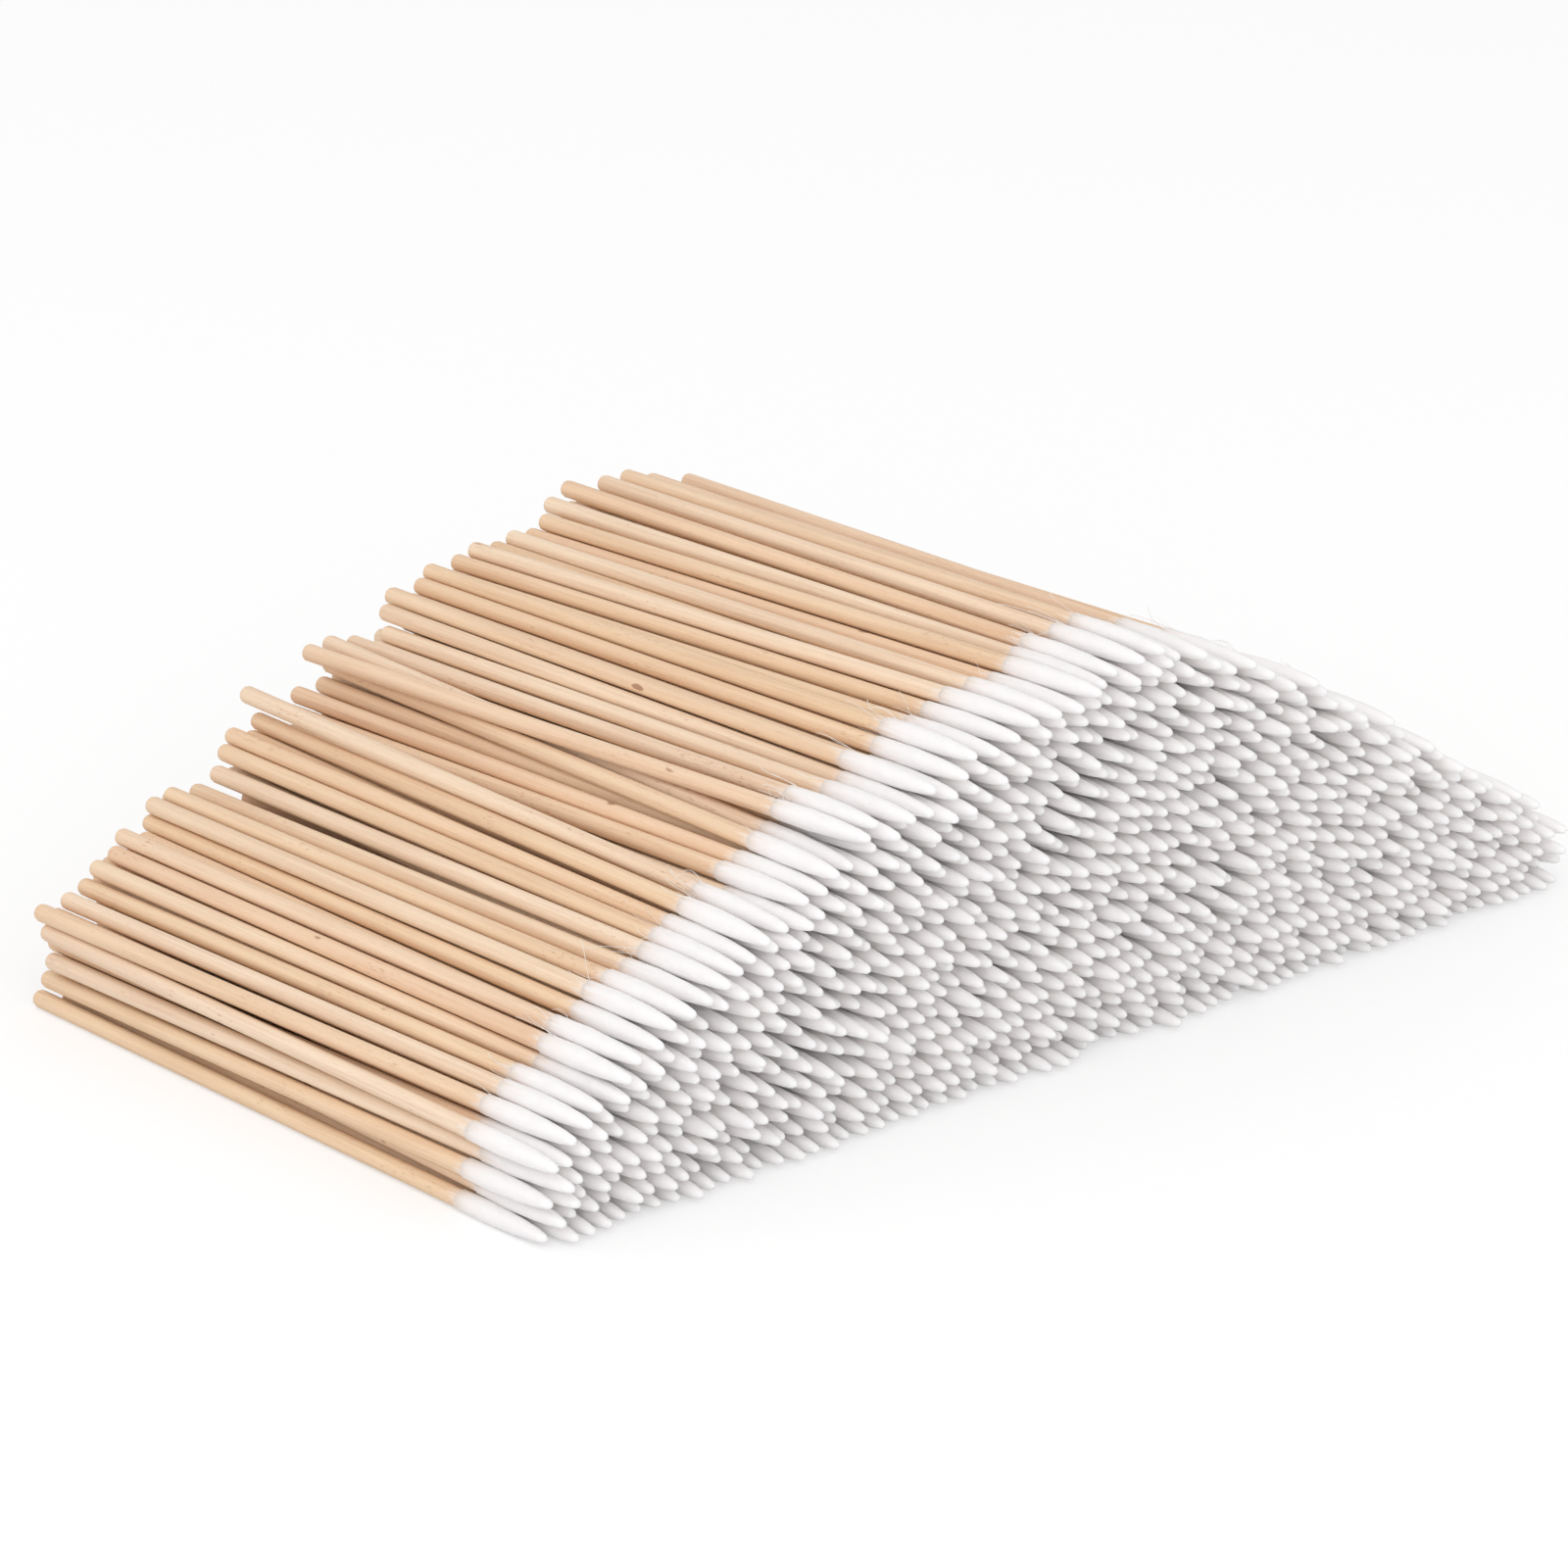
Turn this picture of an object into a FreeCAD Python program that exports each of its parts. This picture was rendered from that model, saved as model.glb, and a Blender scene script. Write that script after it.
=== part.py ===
import FreeCAD, Part
import math
import os
import random

import Sketcher

# A heap of pointed cotton swabs, laid side by side with all their tips to the front.
# One swab is a round birch stick with a rounded back end, and a wound cotton tip that tapers
# to a blunt point. The tip is a sleeve with a blind hole that holds the front of the stick.
# X runs across the heap, Y along the swabs from the tips to the back ends, and Z is up.
# The origin is under the middle of the heap, on the surface that it lies on.

SIZES = {
    # one swab
    "swab_length": 100.0,
    "stick_diameter": 2.3,
    "stick_end_round": 0.7,
    "stick_end_bevel": 0.2,
    "cotton_length": 15.5,
    "cotton_edge": 0.05,
    "widest_place": 10.0,
    "cotton_wrap": 0.15,
    "taper_place": 5.2,
    "taper_radius": 1.13,
    "nose_taper_place": 2.2,
    "nose_taper_radius": 0.89,
    "nose_radius": 0.58,
    "core_past_widest": 2.0,
    # how the swabs lie on each other
    "tip_gap": 0.06,
    "stick_gap": 0.1,
    "row_gap_most": 0.14,
    "stagger": 0.75,
    "stagger_most": 2.4,
    "back_spread": 0.98,
    "skew": 0.4,
    "cross_skew": 2.6,
    "cross_share": 0.07,
    # the outline of the heap across the swabs
    "heap_width": 176.0,
    "heap_height": 52.0,
    "crest_place": 101.0,
    "left_shoulder_height": 13.8,
    "right_shoulder_height": 10.5,
    "shoulder_width": 1.5,
    "left_bulge": 7.0,
    "right_bulge": 3.4,
}
SEED = 23
LAYER_COUNT = 20


def make_sheet(doc):
    sheet = doc.addObject("Spreadsheet::Sheet", "Sizes")
    for row, (alias, value) in enumerate(SIZES.items(), start=1):
        sheet.set(f"A{row}", alias)
        sheet.set(f"B{row}", str(value))
        sheet.setAlias(f"B{row}", alias)
    doc.recompute()
    return sheet


doc = FreeCAD.newDocument("cotton_swab_heap")
sheet = make_sheet(doc)


def size(alias):
    return float(sheet.get(alias))


# Pattern swab: its nose is at the origin and its axis runs along +Y.

def origin_plane(body, role):
    return next(f for f in body.Origin.OriginFeatures if f.Role == role)


def new_sketch(body, name):
    sketch = body.newObject("Sketcher::SketchObject", name)
    sketch.AttachmentSupport = [(origin_plane(body, "XY_Plane"), "")]
    sketch.MapMode = "FlatFace"
    return sketch


def vector(x, y):
    return FreeCAD.Vector(x, y, 0)


def draw_lines(sketch, points):
    """Draw straight edges from point to point, each (radius, distance from the nose)."""
    for start, end in zip(points, points[1:]):
        sketch.addGeometry(Part.LineSegment(vector(*start), vector(*end)), False)


def join_ends(sketch, smooth=()):
    """Join each edge's end to the next edge's start, and smoothly after the edges in smooth."""
    for edge in range(sketch.GeometryCount):
        kind = "Tangent" if edge in smooth else "Coincident"
        following = (edge + 1) % sketch.GeometryCount
        sketch.addConstraint(Sketcher.Constraint(kind, edge, 2, following, 1))


def hold(sketch, name, edge, x="", y=""):
    """Dimension an edge's end from the origin, with expressions on the sheet."""
    place = sketch.getPoint(edge, 2)
    for kind, value, expression in (("DistanceX", place.x, x), ("DistanceY", place.y, y)):
        if expression:
            index = sketch.addConstraint(Sketcher.Constraint(kind, -1, 1, edge, 2, value))
            label = name + kind[-1]
            sketch.renameConstraint(index, label)
            sketch.setExpression(f"Constraints.{label}", expression)


def revolve(body, sketch, name):
    turned = body.newObject("PartDesign::Revolution", name)
    turned.Profile = sketch
    turned.ReferenceAxis = (sketch, ["V_Axis"])
    turned.Angle = 360
    sketch.Visibility = False
    body.Tip = turned
    return turned


STICK_RADIUS = size("stick_diameter") / 2
WIDEST = STICK_RADIUS + size("cotton_wrap")
CORE_FRONT = size("widest_place") - size("core_past_widest")


def make_stick_pattern():
    """The birch stick: a plain rod whose back end is worn round by tumbling."""
    back = size("swab_length")
    rim = size("stick_end_round")
    bevel = size("stick_end_bevel")
    body = doc.addObject("PartDesign::Body", "stick_pattern")
    sketch = new_sketch(body, "stick_outline")
    draw_lines(sketch, [
        (0, CORE_FRONT), (STICK_RADIUS, CORE_FRONT), (STICK_RADIUS, back - rim),
        (STICK_RADIUS - bevel, back - bevel), (STICK_RADIUS - rim, back), (0, back), (0, CORE_FRONT),
    ])
    join_ends(sketch)
    sketch.addConstraint(Sketcher.Constraint("PointOnObject", 0, 1, -2))
    sketch.addConstraint(Sketcher.Constraint("PointOnObject", 5, 1, -2))
    sketch.addConstraint(Sketcher.Constraint("Horizontal", 0))
    sketch.addConstraint(Sketcher.Constraint("Horizontal", 4))
    radius = "Sizes.stick_diameter / 2"
    hold(sketch, "front", 0, radius, "Sizes.widest_place - Sizes.core_past_widest")
    hold(sketch, "side", 1, radius, "Sizes.swab_length - Sizes.stick_end_round")
    hold(sketch, "bevel", 2, radius + " - Sizes.stick_end_bevel", "Sizes.swab_length - Sizes.stick_end_bevel")
    hold(sketch, "back", 3, radius + " - Sizes.stick_end_round", "Sizes.swab_length")
    revolve(body, sketch, "stick_turned")
    return body


def nose_end():
    """Where the round nose ends and runs on smoothly into the taper."""
    nose = size("nose_radius")
    across = size("nose_taper_radius")
    along = size("nose_taper_place") - nose
    angle = math.atan2(along, across) - math.acos(nose / math.hypot(across, along))
    return angle, (nose * math.cos(angle), nose + nose * math.sin(angle))


def make_cotton_pattern():
    """The wound cotton: a blunt nose, a taper in two steps, and a sleeve that thins out."""
    nose = size("nose_radius")
    length = size("cotton_length")
    angle, meet = nose_end()
    body = doc.addObject("PartDesign::Body", "cotton_pattern")
    sketch = new_sketch(body, "cotton_outline")
    nose_circle = Part.Circle(vector(0, nose), FreeCAD.Vector(0, 0, 1), nose)
    sketch.addGeometry(Part.ArcOfCircle(nose_circle, -math.pi / 2, angle), False)
    draw_lines(sketch, [
        meet, (size("nose_taper_radius"), size("nose_taper_place")),
        (size("taper_radius"), size("taper_place")), (WIDEST, size("widest_place")),
        (STICK_RADIUS + size("cotton_edge"), length), (STICK_RADIUS, length),
        (STICK_RADIUS, CORE_FRONT), (0, CORE_FRONT), (0, 0),
    ])
    join_ends(sketch, smooth=(0,))
    sketch.addConstraint(Sketcher.Constraint("Coincident", 0, 1, -1, 1))
    sketch.addConstraint(Sketcher.Constraint("PointOnObject", 0, 3, -2))
    sketch.addConstraint(Sketcher.Constraint("PointOnObject", 7, 2, -2))
    sketch.addConstraint(Sketcher.Constraint("Horizontal", 7))
    index = sketch.addConstraint(Sketcher.Constraint("Radius", 0, nose))
    sketch.renameConstraint(index, "nose")
    sketch.setExpression("Constraints.nose", "Sizes.nose_radius")
    radius = "Sizes.stick_diameter / 2"
    hold(sketch, "nose_taper", 1, "Sizes.nose_taper_radius", "Sizes.nose_taper_place")
    hold(sketch, "taper", 2, "Sizes.taper_radius", "Sizes.taper_place")
    hold(sketch, "widest", 3, radius + " + Sizes.cotton_wrap", "Sizes.widest_place")
    hold(sketch, "edge", 4, radius + " + Sizes.cotton_edge", "Sizes.cotton_length")
    hold(sketch, "mouth", 5, radius, "Sizes.cotton_length")
    hold(sketch, "bore", 6, radius, "Sizes.widest_place - Sizes.core_past_widest")
    revolve(body, sketch, "cotton_turned")
    return body


stick_pattern = make_stick_pattern()
cotton_pattern = make_cotton_pattern()
doc.recompute()


# Heap: the swabs are laid one by one, each into the lowest hollow that is left.
# Stations are planes across the heap, where the swabs' round sections are kept apart.
# A swab is tried in a slot, and from there it rolls into a hollow at its tip and at its back.

STATION_STEP_END = 2.0
STATION_STEP_STICK = 12.0


def between(place, start, end):
    """Radius on a straight edge from start to end, each (radius, distance from the nose)."""
    share = (place - start[1]) / (end[1] - start[1])
    return start[0] + share * (end[0] - start[0])


def radius_at(place):
    """Radius of a swab at a distance from the point of its nose, or 0 past either end."""
    nose = size("nose_radius")
    meet = nose_end()[1]
    nose_taper = (size("nose_taper_radius"), size("nose_taper_place"))
    taper = (size("taper_radius"), size("taper_place"))
    widest = (WIDEST, size("widest_place"))
    if place <= 0 or place > size("swab_length"):
        return 0.0
    if place < meet[1]:
        return math.sqrt(nose ** 2 - (nose - place) ** 2)
    if place < nose_taper[1]:
        return between(place, meet, nose_taper)
    if place < taper[1]:
        return between(place, nose_taper, taper)
    if place < widest[1]:
        return between(place, taper, widest)
    if place < size("cotton_length"):
        return between(place, widest, (STICK_RADIUS + size("cotton_edge"), size("cotton_length")))
    return STICK_RADIUS


def make_stations():
    """Planes along the swabs, close together at the tips and back ends, further apart between."""
    most = size("stagger_most")
    tip_end = size("cotton_length") + most
    last = size("swab_length") + most
    bands = ((-most, tip_end, STATION_STEP_END), (tip_end, last - 2 * most, STATION_STEP_STICK),
             (last - 2 * most, last, STATION_STEP_END))
    places = []
    for start, end, step in bands:
        count = math.ceil((end - start) / step)
        places += [start + (end - start) * n / count for n in range(count)]
    return places


def station_near(y):
    return min(range(len(STATIONS)), key=lambda k: abs(STATIONS[k] - y))


STATIONS = make_stations()
GAPS = [size("tip_gap") if y < size("cotton_length") else size("stick_gap") for y in STATIONS]
MIDDLE = size("swab_length") / 2
TIP_STATION = station_near(size("widest_place"))
BACK_STATION = station_near(0.9 * size("swab_length"))
PITCH = 2 * WIDEST + size("tip_gap")
NEAR = 2 * PITCH
SLOT_STEP = 0.9 * WIDEST
ROLL_MOST = 1.5 * PITCH
ROLL_STEP_LEAST = 0.05
TOPMOST = 5
CROSS_LEAST = 0.5


class Swab:
    """A swab as it lies: its axis and radius at each station."""

    def __init__(self, tip_x, back_x, nose_y):
        run = STATIONS[BACK_STATION] - STATIONS[TIP_STATION]
        self.nose_y = nose_y
        self.turn = (back_x - tip_x) / run
        self.xs = [tip_x + self.turn * (y - STATIONS[TIP_STATION]) for y in STATIONS]
        self.radii = [radius_at(y - nose_y) for y in STATIONS]
        self.middle_x = tip_x + self.turn * (MIDDLE - STATIONS[TIP_STATION])
        self.middle_z = 0.0
        self.tilt = 0.0
        self.zs = []

    def lay(self, near):
        """Rest on the highest points below, one before the middle and one behind it."""
        front = []
        rear = []
        for k, y in enumerate(STATIONS):
            if self.radii[k]:
                side = front if y < MIDDLE else rear
                side.append((y, clear_height(k, self.xs[k], self.radii[k], near)))
        self.middle_z = -1.0
        for front_y, front_z in front:
            for rear_y, rear_z in rear:
                tilt = (rear_z - front_z) / (rear_y - front_y)
                height = front_z + tilt * (MIDDLE - front_y)
                if height > self.middle_z:
                    self.middle_z = height
                    self.tilt = tilt
        self.zs = [self.middle_z + self.tilt * (y - MIDDLE) for y in STATIONS]

    def is_near(self, other):
        """Whether another swab comes beside this one, or crosses it."""
        ahead = self.xs[TIP_STATION] - other.xs[TIP_STATION]
        behind = self.xs[BACK_STATION] - other.xs[BACK_STATION]
        return min(ahead, behind) < NEAR and max(ahead, behind) > -NEAR


def clear_height(k, x, radius, near):
    """Lowest axis at station k and place x that clears the floor and the swabs near it."""
    height = radius
    gap = radius + GAPS[k]
    for other in near:
        if other.radii[k]:
            span = gap + other.radii[k]
            aside = x - other.xs[k]
            if -span < aside < span:
                top = other.zs[k] + math.sqrt(span * span - aside * aside)
                if top > height:
                    height = top
    return height


def roll_down(k, x, radius, near, low, high):
    """Move sideways into the nearest hollow at station k, between two places."""
    height = clear_height(k, x, radius, near)
    step = radius / 2
    while step > ROLL_STEP_LEAST:
        moved = False
        for aside in (x - step, x + step):
            if low <= aside <= high:
                lower = clear_height(k, aside, radius, near)
                if lower < height:
                    height = lower
                    x = aside
                    moved = True
                    break
        if not moved:
            step /= 2
    return x


def outline_height(x):
    """Height of the heap's top at a place across it, measured from its left toe."""
    width = size("heap_width")
    crest = size("crest_place")
    shoulder = size("shoulder_width")
    if x < crest:
        along = (x - shoulder) / (crest - shoulder)
        low = size("left_shoulder_height")
        bulge = size("left_bulge")
        edge = x / shoulder * low
    else:
        along = (width - shoulder - x) / (width - shoulder - crest)
        low = size("right_shoulder_height")
        bulge = size("right_bulge")
        edge = (width - x) / shoulder * low
    if along < 0:
        return edge
    return low + (size("heap_height") - low) * along + 4 * bulge * along * (1 - along)


class Heap:
    """Swabs in the order in which they are laid, found again by their places across the heap."""

    def __init__(self):
        self.chance = random.Random(SEED)
        self.swabs = []
        self.columns = {TIP_STATION: {}, BACK_STATION: {}}
        self.centre = size("heap_width") / 2

    def near(self, station, x):
        """The topmost swabs of each column around a place at a station."""
        first = math.floor((x - ROLL_MOST - PITCH) / WIDEST)
        last = math.floor((x + ROLL_MOST + PITCH) / WIDEST)
        columns = self.columns[station]
        return [swab for n in range(first, last + 1) for swab in columns.get(n, ())[-TOPMOST:]]

    def add(self, swab):
        self.swabs.append(swab)
        for station, columns in self.columns.items():
            columns.setdefault(math.floor(swab.xs[station] / WIDEST), []).append(swab)

    def nose_place(self):
        most = size("stagger_most")
        return max(-most, min(most, self.chance.gauss(0, size("stagger"))))

    def back_place(self, tip_x):
        spread = size("back_spread")
        return self.centre + spread * (tip_x - self.centre) + self.chance.gauss(0, size("skew"))

    def lay_bottom_row(self):
        x = WIDEST
        while x <= size("heap_width") - WIDEST:
            swab = Swab(x, self.centre + size("back_spread") * (x - self.centre), self.nose_place())
            swab.lay([])
            self.add(swab)
            x += PITCH + self.chance.uniform(0, size("row_gap_most"))

    def roll(self, station, x, radius, spread):
        """Roll into a hollow, but not out of the heap: its two sides are pushed up straight."""
        half = spread * (self.centre - WIDEST)
        low, high = self.centre - half, self.centre + half
        x = max(low, min(high, x))
        return roll_down(station, x, radius, self.near(station, x),
                         max(low, x - ROLL_MOST), min(high, x + ROLL_MOST))

    def propose(self, x):
        """A swab for the hollow at a place, or None where it would stand above the outline."""
        nose_y = self.nose_place()
        tip_x = self.roll(TIP_STATION, x, WIDEST, 1)
        back_x = self.roll(BACK_STATION, self.back_place(tip_x), STICK_RADIUS, size("back_spread"))
        return self.lay_under_outline(Swab(tip_x, back_x, nose_y))

    def propose_across(self, x):
        """A swab that lies askew, over the ones below it."""
        aside = self.chance.choice((-1, 1)) * self.chance.uniform(CROSS_LEAST, 1) * size("cross_skew")
        return self.lay_under_outline(Swab(x, self.back_place(x) + aside, self.nose_place()))

    def lay_under_outline(self, swab):
        tip_x = swab.xs[TIP_STATION]
        near = self.near(TIP_STATION, tip_x) + self.near(BACK_STATION, swab.xs[BACK_STATION])
        swab.lay(list(dict.fromkeys(near)))
        top = WIDEST + max(swab.zs[TIP_STATION], swab.zs[BACK_STATION])
        return swab if top < outline_height(tip_x) else None

    def fill(self):
        """Lay swabs into the lowest hollow, again and again, until the outline is full."""
        slots = [SLOT_STEP * n for n in range(1, int(size("heap_width") / SLOT_STEP))]
        offers = [self.propose(x) for x in slots]
        while any(offers):
            n = min((n for n in range(len(slots)) if offers[n]), key=lambda n: offers[n].middle_z)
            swab = offers[n]
            if self.chance.random() < size("cross_share"):
                swab = self.propose_across(swab.xs[TIP_STATION]) or swab
            self.add(swab)
            for m, offer in enumerate(offers):
                if m == n or offer and offer.is_near(swab):
                    offers[m] = self.propose(slots[m])


heap = Heap()
heap.lay_bottom_row()
heap.fill()


# Nodes: the sticks and the cotton tips of each layer of the heap.

def heap_middle():
    """Middle of the heap's footprint, so that the origin comes to lie under it."""
    left = min(min(swab.xs[TIP_STATION] - WIDEST, swab.xs[-1] - STICK_RADIUS) for swab in heap.swabs)
    right = max(max(swab.xs[TIP_STATION] + WIDEST, swab.xs[-1] + STICK_RADIUS) for swab in heap.swabs)
    front = min(swab.nose_y for swab in heap.swabs)
    back = max(swab.nose_y for swab in heap.swabs) + size("swab_length")
    return (left + right) / 2, (front + back) / 2


def swab_placement(swab, middle):
    """Where a swab's pattern goes: its nose point, and its axis along the swab."""
    nose_x = swab.xs[TIP_STATION] + swab.turn * (swab.nose_y - STATIONS[TIP_STATION])
    nose_z = swab.middle_z + swab.tilt * (swab.nose_y - MIDDLE)
    nose = FreeCAD.Vector(nose_x - middle[0], swab.nose_y - middle[1], nose_z)
    axis = FreeCAD.Vector(swab.turn, 1, swab.tilt)
    return FreeCAD.Placement(nose, FreeCAD.Rotation(FreeCAD.Vector(0, 1, 0), axis))


def layer_of(swab):
    """Layers are bands of equal height, counted from the bottom."""
    top = max(other.middle_z for other in heap.swabs)
    return min(LAYER_COUNT, 1 + int(swab.middle_z / top * LAYER_COUNT))


def add_node(label, pattern, placements):
    copies = []
    for placement in placements:
        copy = pattern.Shape.copy()
        copy.transformShape(placement.toMatrix(), True)
        copies.append(copy)
    node = doc.addObject("Part::Feature", label)
    node.Label = label
    node.Shape = Part.makeCompound(copies)
    node.Placement = FreeCAD.Placement()
    return node


def make_nodes():
    layers = {}
    middle = heap_middle()
    for swab in heap.swabs:
        layers.setdefault(layer_of(swab), []).append(swab_placement(swab, middle))
    nodes = []
    for layer, placements in sorted(layers.items()):
        nodes.append(add_node(f"sticks_layer_{layer:02d}", stick_pattern, placements))
        nodes.append(add_node(f"cotton_tips_layer_{layer:02d}", cotton_pattern, placements))
    return nodes


def check(nodes):
    """Stop before writing if anything in the document failed."""
    for thing in doc.Objects:
        if "Invalid" in thing.State or "Error" in thing.State:
            raise RuntimeError(f"{thing.Label} failed: {thing.State}")
    for node in nodes:
        if node.Shape.isNull() or not node.Shape.isValid():
            raise RuntimeError(f"{node.Label} has no valid shape")


nodes = make_nodes()
doc.recompute()
check(nodes)
os.makedirs("parts", exist_ok=True)
for node in nodes:
    node.Shape.exportStep(f"parts/{node.Label}.step")
print(len(heap.swabs), "swabs in", len(nodes), "nodes")
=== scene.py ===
import math
import random

import bmesh
import bpy
import numpy as np
from mathutils import Matrix, Vector


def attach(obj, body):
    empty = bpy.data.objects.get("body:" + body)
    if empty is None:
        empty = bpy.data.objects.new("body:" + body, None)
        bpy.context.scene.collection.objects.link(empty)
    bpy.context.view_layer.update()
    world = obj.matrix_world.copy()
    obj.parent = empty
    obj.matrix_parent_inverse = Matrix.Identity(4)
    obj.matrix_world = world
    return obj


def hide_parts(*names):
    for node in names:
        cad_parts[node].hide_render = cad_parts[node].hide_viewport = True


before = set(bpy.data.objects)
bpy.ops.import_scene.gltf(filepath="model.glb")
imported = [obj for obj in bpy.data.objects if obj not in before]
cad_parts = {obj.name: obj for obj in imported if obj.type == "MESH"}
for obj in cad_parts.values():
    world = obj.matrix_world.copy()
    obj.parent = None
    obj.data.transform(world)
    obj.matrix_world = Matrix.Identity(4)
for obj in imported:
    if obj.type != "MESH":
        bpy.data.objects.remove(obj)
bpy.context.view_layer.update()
chance = random.Random(11)


# Where each swab lies.
# Every swab in the heap is loose, so its place is read from its own stick in the frame: the
# middles of the stick's front end and back end give the line that the swab is laid along.

SWAB_LENGTH = 0.100
STICK_FRONT = 0.008


def solids_of(node):
    """The corners of each solid in a node, from left to right and from the bottom up."""
    merged = bmesh.new()
    merged.from_mesh(node.data)
    bmesh.ops.remove_doubles(merged, verts=merged.verts, dist=1e-6)
    unseen = set(merged.verts)
    solids = []
    while unseen:
        reached = [unseen.pop()]
        corners = []
        while reached:
            corner = reached.pop()
            corners.append(corner.co[:])
            for edge in corner.link_edges:
                other = edge.other_vert(corner)
                if other in unseen:
                    unseen.remove(other)
                    reached.append(other)
        solids.append(np.array(corners))
    merged.free()
    return sorted(solids, key=lambda corners: tuple(corners.mean(axis=0).round(5)))


def swab_place(corners):
    """Matrix that lays a swab, drawn with its nose at the origin and its axis on +Y, on a stick."""
    turned = corners - corners.mean(axis=0)
    axis = np.linalg.svd(turned, full_matrices=False)[2][0]
    axis = axis if axis[1] > 0 else -axis
    along = turned @ axis
    front = Vector(corners[along < along.min() + 1e-5].mean(axis=0))
    back = Vector(corners[along > along.max() - 1e-5].mean(axis=0))
    line = (back - front).normalized()
    lay = Vector((0, 1, 0)).rotation_difference(line).to_matrix().to_4x4()
    return Matrix.Translation(front - line * STICK_FRONT) @ lay


LAYERS = sorted(name[-2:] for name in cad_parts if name.startswith("sticks_layer_"))
places = {}
rolls = {}
numbers = {}
for layer in LAYERS:
    solids = solids_of(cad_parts["sticks_layer_" + layer])
    places[layer] = [swab_place(corners) for corners in solids]
    rolls[layer] = [Matrix.Rotation(chance.uniform(0, 2 * math.pi), 4, "Y") for _ in solids]
    numbers[layer] = [chance.random() for _ in solids]


# Birch sticks.
# Each is a plain round rod of pale birch, split and turned from the log, then tumbled until
# its back end is round. The bare wood is unfinished, and its colour differs from stick to stick.

STICK_RADIUS = 0.00115
STICK_ROUND = 0.0007
STICK_SIDES = 12
STRAW = (0.865, 0.645, 0.440)
PEACH = (0.865, 0.620, 0.435)
PALE = (0.925, 0.750, 0.575)
PORE = (0.520, 0.240, 0.115)
KNOT = (0.300, 0.115, 0.055)
HAZE = (0.900, 0.810, 0.750)
END_GRAIN = (0.620, 0.430, 0.290)


def only(obj):
    """Select one object and nothing else."""
    bpy.ops.object.select_all(action="DESELECT")
    bpy.context.view_layer.objects.active = obj
    obj.select_set(True)


def settle(obj, name):
    """Name a pattern and put its place and turn into its mesh."""
    only(obj)
    bpy.ops.object.transform_apply(location=True, rotation=True, scale=True)
    obj.name = name
    obj.data.name = name
    return obj


def pick_faces(obj, chosen):
    """In edit mode, select just the faces that a test of middle and normal chooses."""
    bpy.ops.mesh.select_mode(type="FACE")
    bpy.ops.mesh.select_all(action="DESELECT")
    shape = bmesh.from_edit_mesh(obj.data)
    for face in shape.faces:
        face.select_set(chosen(face.calc_center_median(), face.normal))
    bmesh.update_edit_mesh(obj.data)


def model_stick():
    depth = SWAB_LENGTH - STICK_FRONT
    bpy.ops.object.select_all(action="DESELECT")
    bpy.ops.mesh.primitive_cylinder_add(
        vertices=STICK_SIDES, radius=STICK_RADIUS, depth=depth,
        location=(0, STICK_FRONT + depth / 2, 0), rotation=(-math.pi / 2, 0, 0))
    stick = settle(bpy.context.object, "stick_pattern")
    bpy.ops.object.mode_set(mode="EDIT")
    pick_faces(stick, lambda middle, normal: normal.y > 0.9)
    bpy.ops.mesh.bevel(offset=STICK_ROUND, segments=3, affect="EDGES")
    bpy.ops.object.mode_set(mode="OBJECT")
    bpy.ops.object.shade_smooth_by_angle(angle=math.radians(40))
    return stick


def lay_copies(pattern, layer, name):
    """Copy a pattern onto every swab of a layer. A copy keeps where its corners were on the pattern,
    in swab_point, and has its own number from 0 to 1, in swab_number."""
    copies = []
    drawn = np.array([corner.co[:] for corner in pattern.data.vertices])
    for place, roll, own in zip(places[layer], rolls[layer], numbers[layer]):
        copy = bpy.data.objects.new(name, pattern.data.copy())
        bpy.context.scene.collection.objects.link(copy)
        copy.data.transform(place @ roll)
        point = copy.data.attributes.new("swab_point", "FLOAT_VECTOR", "POINT")
        point.data.foreach_set("vector", drawn.ravel())
        number = copy.data.attributes.new("swab_number", "FLOAT", "POINT")
        number.data.foreach_set("value", [own] * len(drawn))
        copies.append(copy)
    bpy.ops.object.select_all(action="DESELECT")
    for copy in copies:
        copy.select_set(True)
    bpy.context.view_layer.objects.active = copies[0]
    bpy.ops.object.join()
    piece = bpy.context.object
    piece.name = name
    piece.data.name = name
    return piece


class Field:
    """A value that changes over a surface: sums and products of fields add Math nodes."""

    def __init__(self, nodes, socket):
        self.nodes = nodes
        self.socket = socket

    def math(self, operation, *values):
        inputs = dict(enumerate(values))
        return self.nodes.add("ShaderNodeMath", {"operation": operation}, inputs)

    def __add__(self, other):
        return self.math("ADD", self, other)

    def __mul__(self, other):
        return self.math("MULTIPLY", self, other)

    def __sub__(self, other):
        return self.math("SUBTRACT", self, other)

    def __rsub__(self, other):
        return self.math("SUBTRACT", other, self)

    __radd__ = __add__
    __rmul__ = __mul__


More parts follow.
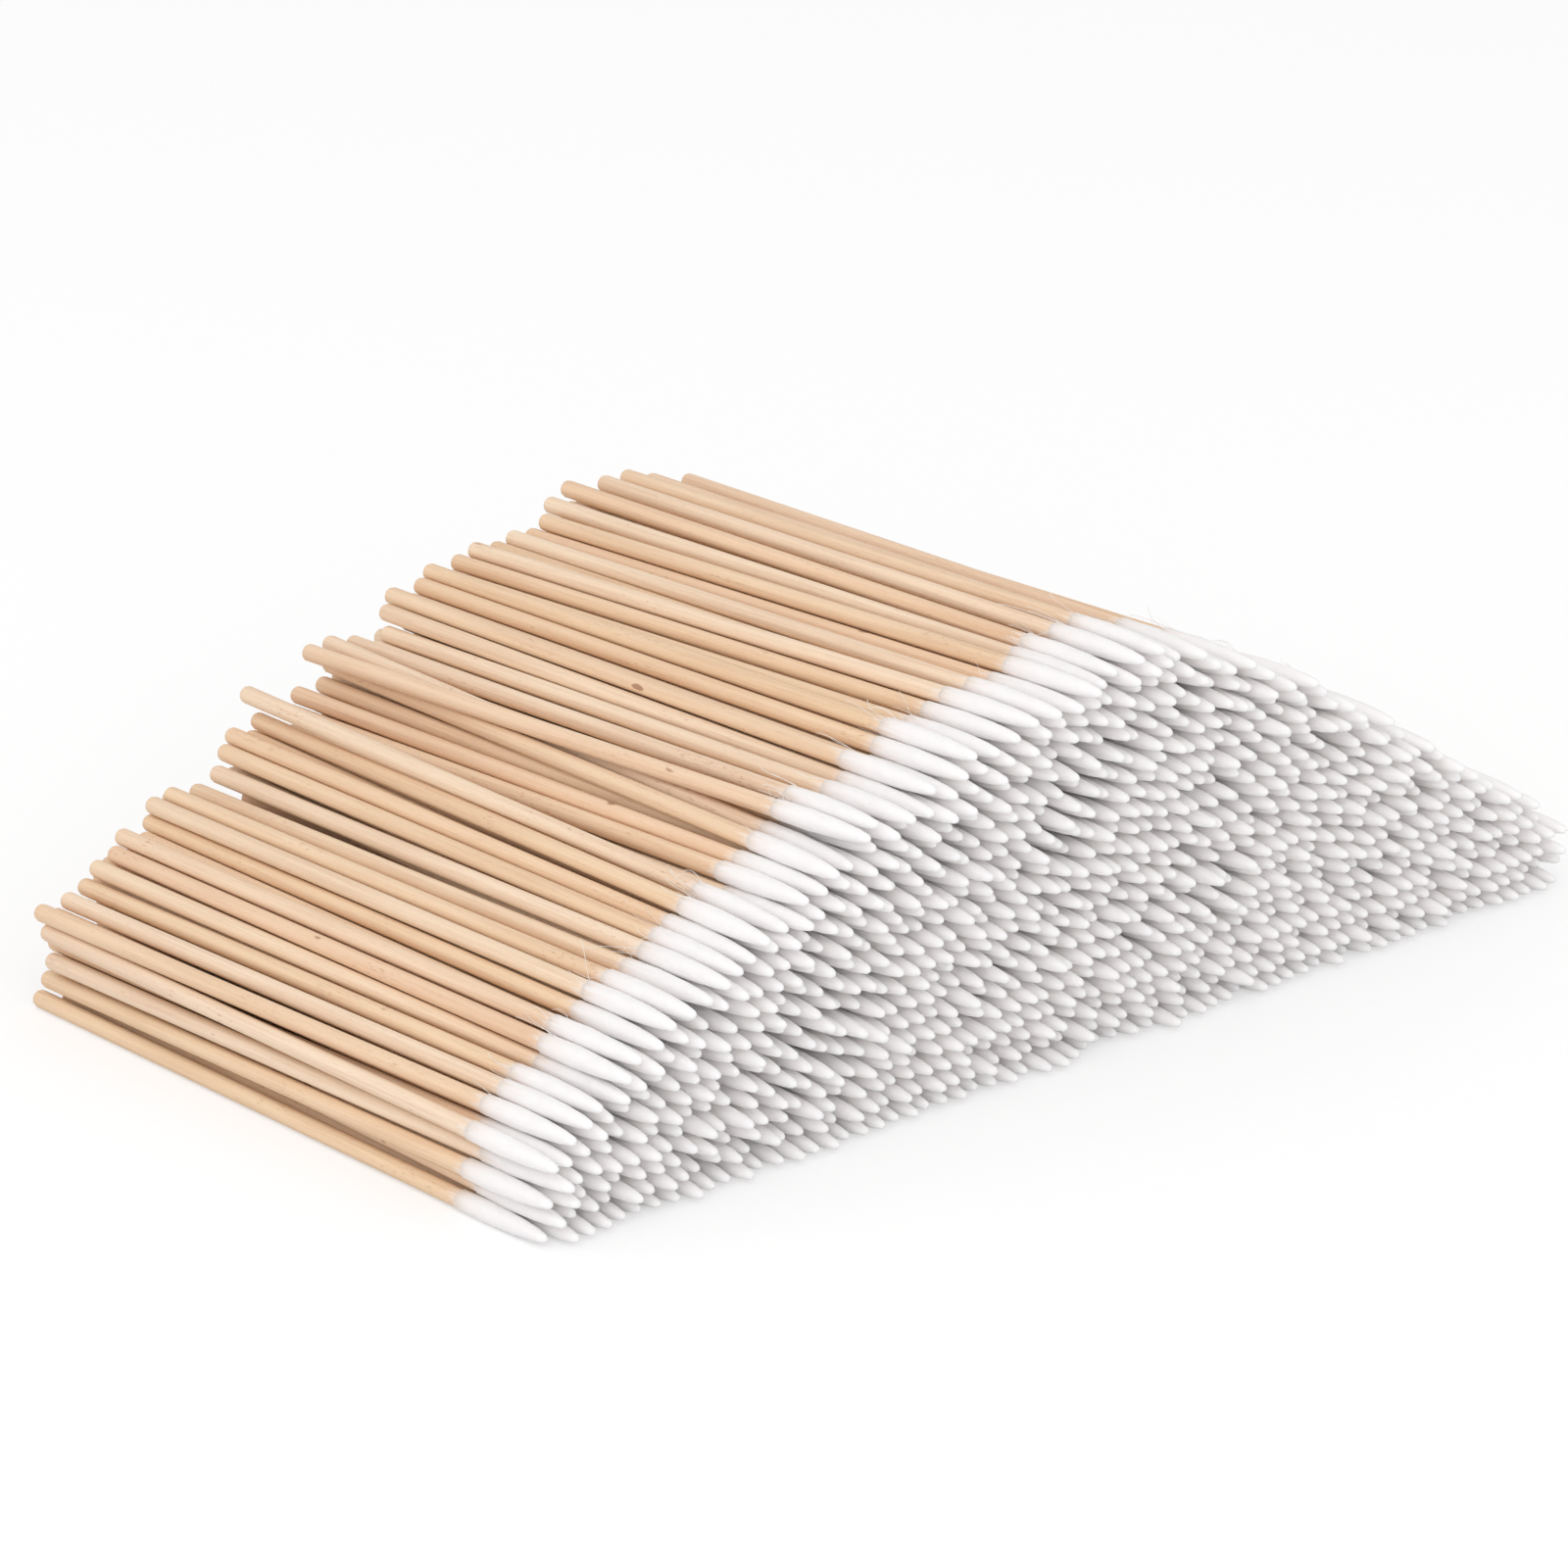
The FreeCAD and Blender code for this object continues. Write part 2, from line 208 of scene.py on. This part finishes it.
class Nodes:
    """The nodes of a material or a world."""

    def __init__(self, tree):
        self.tree = tree

    def add(self, kind, settings=None, inputs=None, output=0):
        """Add a node with its settings, then its sockets' values or links, and give one output."""
        node = self.tree.nodes.new(kind)
        for name, value in (settings or {}).items():
            setattr(node, name, value)
        for socket, value in (inputs or {}).items():
            self.put(node.inputs[socket], value)
        return Field(self, node.outputs[output])

    def put(self, socket, value):
        if isinstance(value, Field):
            self.tree.links.new(value.socket, socket)
        elif isinstance(value, tuple) and socket.type == "RGBA":
            socket.default_value = (*value, 1)
        else:
            socket.default_value = value

    def seen(self):
        """1 for a ray that shows the background: from the camera, or by way of metal or glass."""
        names = ("Is Camera Ray", "Is Glossy Ray", "Is Transmission Ray")
        camera, glossy, clear = (self.add("ShaderNodeLightPath", output=name) for name in names)
        return clear.math("MAXIMUM", camera + glossy, clear)


class Finish(Nodes):
    """A material and the nodes that make it."""

    def __init__(self, name, constants):
        self.material = bpy.data.materials.new(name)
        self.material.use_nodes = True
        super().__init__(self.material.node_tree)
        self.shader = self.tree.nodes["Principled BSDF"]
        for socket, value in constants.items():
            self.shader.inputs[socket].default_value = value

    def shade(self, socket, value):
        self.put(self.shader.inputs[socket], value)

    def attribute(self, name, output):
        return self.add("ShaderNodeAttribute", {"attribute_name": name}, output=output)

    def stretched(self, point, scale):
        return self.add("ShaderNodeVectorMath", {"operation": "MULTIPLY"}, {0: point, 1: scale})

    def noise(self, point, scale, detail=2.0, roughness=0.5):
        """Noise, from about 0.3 to 0.7, on a point that is stretched by a scale in each direction."""
        inputs = {"Vector": self.stretched(point, scale), "Scale": 1.0, "Detail": detail,
                  "Roughness": roughness}
        return self.add("ShaderNodeTexNoise", {"noise_dimensions": "3D"}, inputs)

    def ramp(self, value, low, high):
        """0 below low, 1 above high, and smooth between them."""
        inputs = {"Value": value, "From Min": low, "From Max": high}
        return self.add("ShaderNodeMapRange", {"interpolation_type": "SMOOTHSTEP"}, inputs)

    def mix(self, share, first, second):
        """A share of the second colour in the first."""
        inputs = {0: share, 6: first, 7: second}
        return self.add("ShaderNodeMix", {"data_type": "RGBA"}, inputs, output=2)

    def bump(self, height, strength, distance):
        inputs = {"Height": height, "Strength": strength, "Distance": distance}
        self.shade("Normal", self.add("ShaderNodeBump", {}, inputs))


def swab_fields(finish):
    """Of a copied swab: the point on the pattern, that point moved apart from the other swabs'
    points, the distance from the nose, and the swab's own number."""
    point = finish.attribute("swab_point", "Vector")
    number = finish.attribute("swab_number", "Fac")
    apart = finish.add("ShaderNodeCombineXYZ", {}, {0: number * 7.0, 1: number * 3.0, 2: number * 5.0})
    moved = finish.add("ShaderNodeVectorMath", {"operation": "ADD"}, {0: point, 1: apart})
    along = finish.add("ShaderNodeSeparateXYZ", {}, {0: point}, output=1)
    return moved, along, number


def birch_finish():
    birch = Finish("birch", {"Roughness": 0.7, "Specular IOR Level": 0.2})
    point, along, number = swab_fields(birch)
    shuffled = birch.add("ShaderNodeMath", {"operation": "FRACT"}, {0: number * 17.3})
    ground = birch.mix(birch.ramp(number, 0.45, 1.1), STRAW, PEACH)
    ground = birch.mix(birch.ramp(shuffled, 0.1, 0.9) * 0.8, ground, PALE)
    grain = birch.noise(point, (2600, 55, 2600), detail=4.0, roughness=0.6)
    bands = birch.noise(point, (420, 18, 420), detail=1.0)
    pores = birch.ramp(birch.noise(point, (6500, 750, 6500), detail=1.0), 0.62, 0.72)
    rough = birch.ramp(birch.noise(point, (260, 60, 260), detail=0.0), 0.60, 0.74)
    knots = birch.ramp(birch.noise(point, (520, 190, 520), detail=0.0), 0.87, 0.91)
    shade = birch.ramp(grain, 0.35, 0.8) * 0.26 + birch.ramp(bands, 0.42, 0.7) * 0.14
    colour = birch.mix(shade + pores * (rough * 0.4 + 0.1), ground, PORE)
    colour = birch.mix(knots * 0.7, colour, KNOT)
    wisps = birch.noise(point, (3200, 110, 3200), detail=2.0)
    haze = 1 - birch.ramp(along + (wisps - 0.5) * 0.006, 0.0152, 0.0172)
    colour = birch.mix(haze * 0.6, colour, HAZE)
    end = birch.ramp(along, SWAB_LENGTH - 0.0007, SWAB_LENGTH - 0.0001)
    colour = birch.mix(end * 0.35, colour, END_GRAIN)
    birch.shade("Base Color", colour)
    birch.bump(grain - pores * (rough * 2.0 + 0.5), 0.3, 0.00012)
    return birch


stick_pattern = model_stick()
birch = birch_finish()
stick_pattern.data.materials.append(birch.material)
for layer in LAYERS:
    sticks = lay_copies(stick_pattern, layer, "birch_sticks_" + layer)
    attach(sticks, "root")
    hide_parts("sticks_layer_" + layer)
    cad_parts["sticks_layer_" + layer].data.materials.clear()
    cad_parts["sticks_layer_" + layer].data.materials.append(birch.material)
bpy.data.objects.remove(stick_pattern)


# Cotton tips.
# Bleached cotton is wound on the front of each stick and pressed into a blunt point. The sleeve
# thins out on the wood behind it, where the last fibres let the colour of the stick through. The
# front of the stick fills it and is never seen, so the sleeve is drawn solid.

TIP_SIDES = 10
NOSE = (0.00010, 0.00033)
NOSE_SIDE = (0.00048, 0.00057)
NOSE_TAPER = (0.0022, 0.00089)
TAPER = (0.0052, 0.00117)
WIDEST = (0.0100, 0.00138)
SLEEVE_EDGE = (0.0155, 0.00127)
COTTON = (0.925, 0.895, 0.888)
COTTON_SHADE = (0.870, 0.836, 0.828)
# Painted light: a lighter white for the nose, standing in for light that shines through the thin cotton
# at the point.
PAINTED_NOSE_LIGHT = (0.955, 0.935, 0.930)
THIN_COTTON = (0.900, 0.805, 0.775)
WOOD_UNDER_COTTON = (0.800, 0.630, 0.480)


def grow(obj, start, end):
    """Draw the back face out from one ring, (distance, radius), to the next."""
    bpy.ops.mesh.extrude_region_move(TRANSFORM_OT_translate={"value": (0, end[0] - start[0], 0)})
    share = end[1] / start[1]
    bpy.ops.transform.resize(value=(share, 1, share))


def model_tip():
    bpy.ops.object.select_all(action="DESELECT")
    bpy.ops.mesh.primitive_cylinder_add(
        vertices=TIP_SIDES, radius=NOSE[1], depth=NOSE[0],
        location=(0, NOSE[0] / 2, 0), rotation=(-math.pi / 2, 0, 0))
    tip = settle(bpy.context.object, "tip_pattern")
    bpy.ops.object.mode_set(mode="EDIT")
    pick_faces(tip, lambda middle, normal: normal.y < -0.9)
    bpy.ops.transform.resize(value=(0.35, 1, 0.35))
    pick_faces(tip, lambda middle, normal: normal.y > 0.9)
    rings = (NOSE, NOSE_SIDE, NOSE_TAPER, TAPER, WIDEST, SLEEVE_EDGE)
    for start, end in zip(rings, rings[1:]):
        grow(tip, start, end)
    bpy.ops.object.mode_set(mode="OBJECT")
    bpy.ops.object.shade_smooth_by_angle(angle=math.radians(60))
    return tip


def cotton_finish():
    cotton = Finish("cotton", {
        "Roughness": 0.95, "Specular IOR Level": 0.15, "Sheen Weight": 1.0, "Sheen Roughness": 0.35,
        "Subsurface Weight": 0.5, "Subsurface Radius": (1.0, 0.95, 0.92), "Subsurface Scale": 0.0025})
    point, along, number = swab_fields(cotton)
    fibres = cotton.noise(point, (5200, 900, 5200), detail=3.0, roughness=0.65)
    lumps = cotton.noise(point, (900, 420, 900), detail=2.0)
    ragged = cotton.noise(point, (2200, 130, 2200), detail=3.0, roughness=0.6)
    colour = cotton.mix(cotton.ramp(lumps, 0.4, 0.75) * 0.5, COTTON, COTTON_SHADE)
    # Painted light: the first 1.6 mm from the nose is painted lighter, as a painted glow of light through
    # the thin cotton there.
    colour = cotton.mix(1 - cotton.ramp(along, 0.0, 0.0016), colour, PAINTED_NOSE_LIGHT)
    worn = along + (ragged - 0.5) * 0.007
    colour = cotton.mix(cotton.ramp(worn, 0.0095, 0.0150) * 0.8, colour, THIN_COTTON)
    colour = cotton.mix(cotton.ramp(worn, 0.0132, 0.0166) * 0.65, colour, WOOD_UNDER_COTTON)
    cotton.shade("Base Color", colour)
    cotton.bump(fibres * 0.5 + lumps, 0.5, 0.00022)
    return cotton


tip_pattern = model_tip()
cotton = cotton_finish()
tip_pattern.data.materials.append(cotton.material)
for layer in LAYERS:
    tips = lay_copies(tip_pattern, layer, "cotton_tips_" + layer)
    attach(tips, "root")
    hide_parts("cotton_tips_layer_" + layer)
    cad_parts["cotton_tips_layer_" + layer].data.materials.clear()
    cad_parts["cotton_tips_layer_" + layer].data.materials.append(cotton.material)
bpy.data.objects.remove(tip_pattern)


# Loose cotton fibres.
# A few fibres at the back of each sleeve never took hold. They curl away over the bare wood, and
# are seen on the swabs that nothing lies on.

FIBRE_RADIUS = 0.000030
FIBRE_START = SLEEVE_EDGE[0] - 0.0022
FIBRE_BENDS = (
    ((0.0, 0.0, 0.0), (0.0004, 0.0022, 0.00035), (-0.0003, 0.0042, 0.00060), (0.0008, 0.0058, 0.00040)),
    ((0.0, 0.0, 0.0), (-0.0006, 0.0015, 0.00060), (-0.0012, 0.0030, 0.00030), (-0.0007, 0.0043, 0.00085)),
    ((0.0, 0.0, 0.0), (0.0008, 0.0010, 0.00050), (0.0010, 0.0024, 0.00110), (0.0001, 0.0031, 0.00070)),
    ((0.0, 0.0, 0.0), (-0.0002, 0.0026, 0.00015), (0.0005, 0.0047, 0.00045), (0.0002, 0.0070, 0.00020)),
)
OPEN_ASIDE = 0.0021
OPEN_ABOVE = 0.0008
FIBRES_MOST = 5


def model_fibre(bends):
    """A curled fibre that starts at the origin on the sleeve and runs back along +Y."""
    bpy.ops.object.select_all(action="DESELECT")
    bpy.ops.curve.primitive_nurbs_path_add(location=(0, 0, 0))
    fibre = bpy.context.object
    path = fibre.data
    path.splines.clear()
    line = path.splines.new("NURBS")
    line.points.add(len(bends) - 1)
    for point, bend in zip(line.points, bends):
        point.co = (*bend, 1)
    line.use_endpoint_u = True
    line.order_u = 4
    line.resolution_u = 3
    path.bevel_depth = FIBRE_RADIUS
    path.bevel_resolution = 0
    path.use_fill_caps = True
    bpy.ops.object.convert(target="MESH")
    return settle(bpy.context.object, "fibre_pattern")


def lies_open(place, others):
    """Whether nothing lies on a swab's sleeve."""
    sleeve = place @ Vector((0, SLEEVE_EDGE[0], 0))
    for other in others:
        aside = other @ Vector((0, SLEEVE_EDGE[0], 0)) - sleeve
        if abs(aside.x) < OPEN_ASIDE and aside.z > OPEN_ABOVE:
            return False
    return True


fibre_patterns = [model_fibre(bends) for bends in FIBRE_BENDS]
swabs = [place for layer in LAYERS for place in places[layer]]
fibres = []
for place in swabs:
    if lies_open(place, swabs):
        for _ in range(chance.randint(1, FIBRES_MOST)):
            pattern = chance.choice(fibre_patterns)
            fibre = bpy.data.objects.new("loose_fibres", pattern.data.copy())
            bpy.context.scene.collection.objects.link(fibre)
            aside = Matrix.Rotation(math.radians(chance.gauss(0, 45)), 4, "Y")
            turn = Matrix.Rotation(math.radians(chance.gauss(0, 22)), 4, "Z")
            rise = Matrix.Translation((0, FIBRE_START + chance.uniform(0, 0.0016), WIDEST[1] - 0.0001))
            grow_by = Matrix.Scale(chance.uniform(0.6, 1.25), 4)
            fibre.data.transform(place @ aside @ rise @ turn @ grow_by)
            fibres.append(fibre)
bpy.ops.object.select_all(action="DESELECT")
for fibre in fibres:
    fibre.select_set(True)
bpy.context.view_layer.objects.active = fibres[0]
bpy.ops.object.join()
fibres = bpy.context.object
fibres.name = "loose_fibres"
lint = Finish("lint", {"Base Color": (0.90, 0.87, 0.85, 1), "Roughness": 0.9, "Specular IOR Level": 0.1})
fibres.data.materials.clear()
fibres.data.materials.append(lint.material)
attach(fibres, "root")
for pattern in fibre_patterns:
    bpy.data.objects.remove(pattern)


# The table that the heap lies on, in a plain white studio.

def white_floor():
    bpy.ops.object.select_all(action="DESELECT")
    bpy.ops.mesh.primitive_plane_add(size=40, location=(0, 0, 0))
    floor = bpy.context.object
    floor.name = "floor"
    paper = Finish("paper", {"Roughness": 1.0, "Specular IOR Level": 0.0})
    seen = paper.seen()
    paper.shade("Base Color", paper.mix(seen, (0.82, 0.82, 0.82), (1.0, 1.0, 1.0)))
    glow = paper.add("ShaderNodeEmission", {}, {"Color": (1.0, 1.0, 1.0), "Strength": 1.06})
    diffuse = Field(paper, paper.shader.outputs[0])
    both = paper.add("ShaderNodeMixShader", {}, {0: seen * 0.45, 1: diffuse, 2: glow})
    paper.put(paper.tree.nodes["Material Output"].inputs["Surface"], both)
    floor.data.materials.append(paper.material)


white_floor()


def light(name, place, aim, size, power):
    bpy.ops.object.light_add(type="AREA", location=place)
    lamp = bpy.context.object
    lamp.name = name
    lamp.data.shape = "DISK"
    lamp.data.size = size
    lamp.data.energy = power
    lamp.rotation_euler = (Vector(aim) - Vector(place)).to_track_quat("-Z", "Y").to_euler()


light("window", (-0.8, 0.1, 1.7), (0, 0, 0), 2.2, 4.5)
light("bounce", (-1.2, -1.35, 0.85), (0, 0, 0), 2.4, 18.0)

world = bpy.data.worlds.new("studio")
bpy.context.scene.world = world
world.use_nodes = True
studio = Nodes(world.node_tree)
glow = studio.add("ShaderNodeBackground", {}, {"Color": (1.0, 1.0, 1.0), "Strength": 0.74})
white = studio.add("ShaderNodeBackground", {}, {"Color": (1.0, 1.0, 1.0), "Strength": 1.0})
both = studio.add("ShaderNodeMixShader", {}, {0: studio.seen(), 1: glow, 2: white})
studio.put(studio.tree.nodes["World Output"].inputs["Surface"], both)


# The camera stands low and to the left of the tips, some way off, with a long lens.

AZIMUTH = math.radians(-42.55)
ELEVATION = math.radians(20.3)
DISTANCE = 0.900
AIM = Vector((-0.0144, -0.0100, 0.0288))

back = Vector((math.sin(AZIMUTH) * math.cos(ELEVATION), -math.cos(AZIMUTH) * math.cos(ELEVATION),
               math.sin(ELEVATION)))
bpy.ops.object.camera_add(location=AIM + back * DISTANCE)
camera = bpy.context.object
camera.rotation_euler = (-back).to_track_quat("-Z", "Y").to_euler()
camera.data.sensor_width = 36.0
camera.data.lens = 166.5
camera.data.clip_start = 0.01
camera.data.clip_end = 100.0
bpy.context.scene.camera = camera
bpy.context.scene.view_settings.view_transform = "Standard"
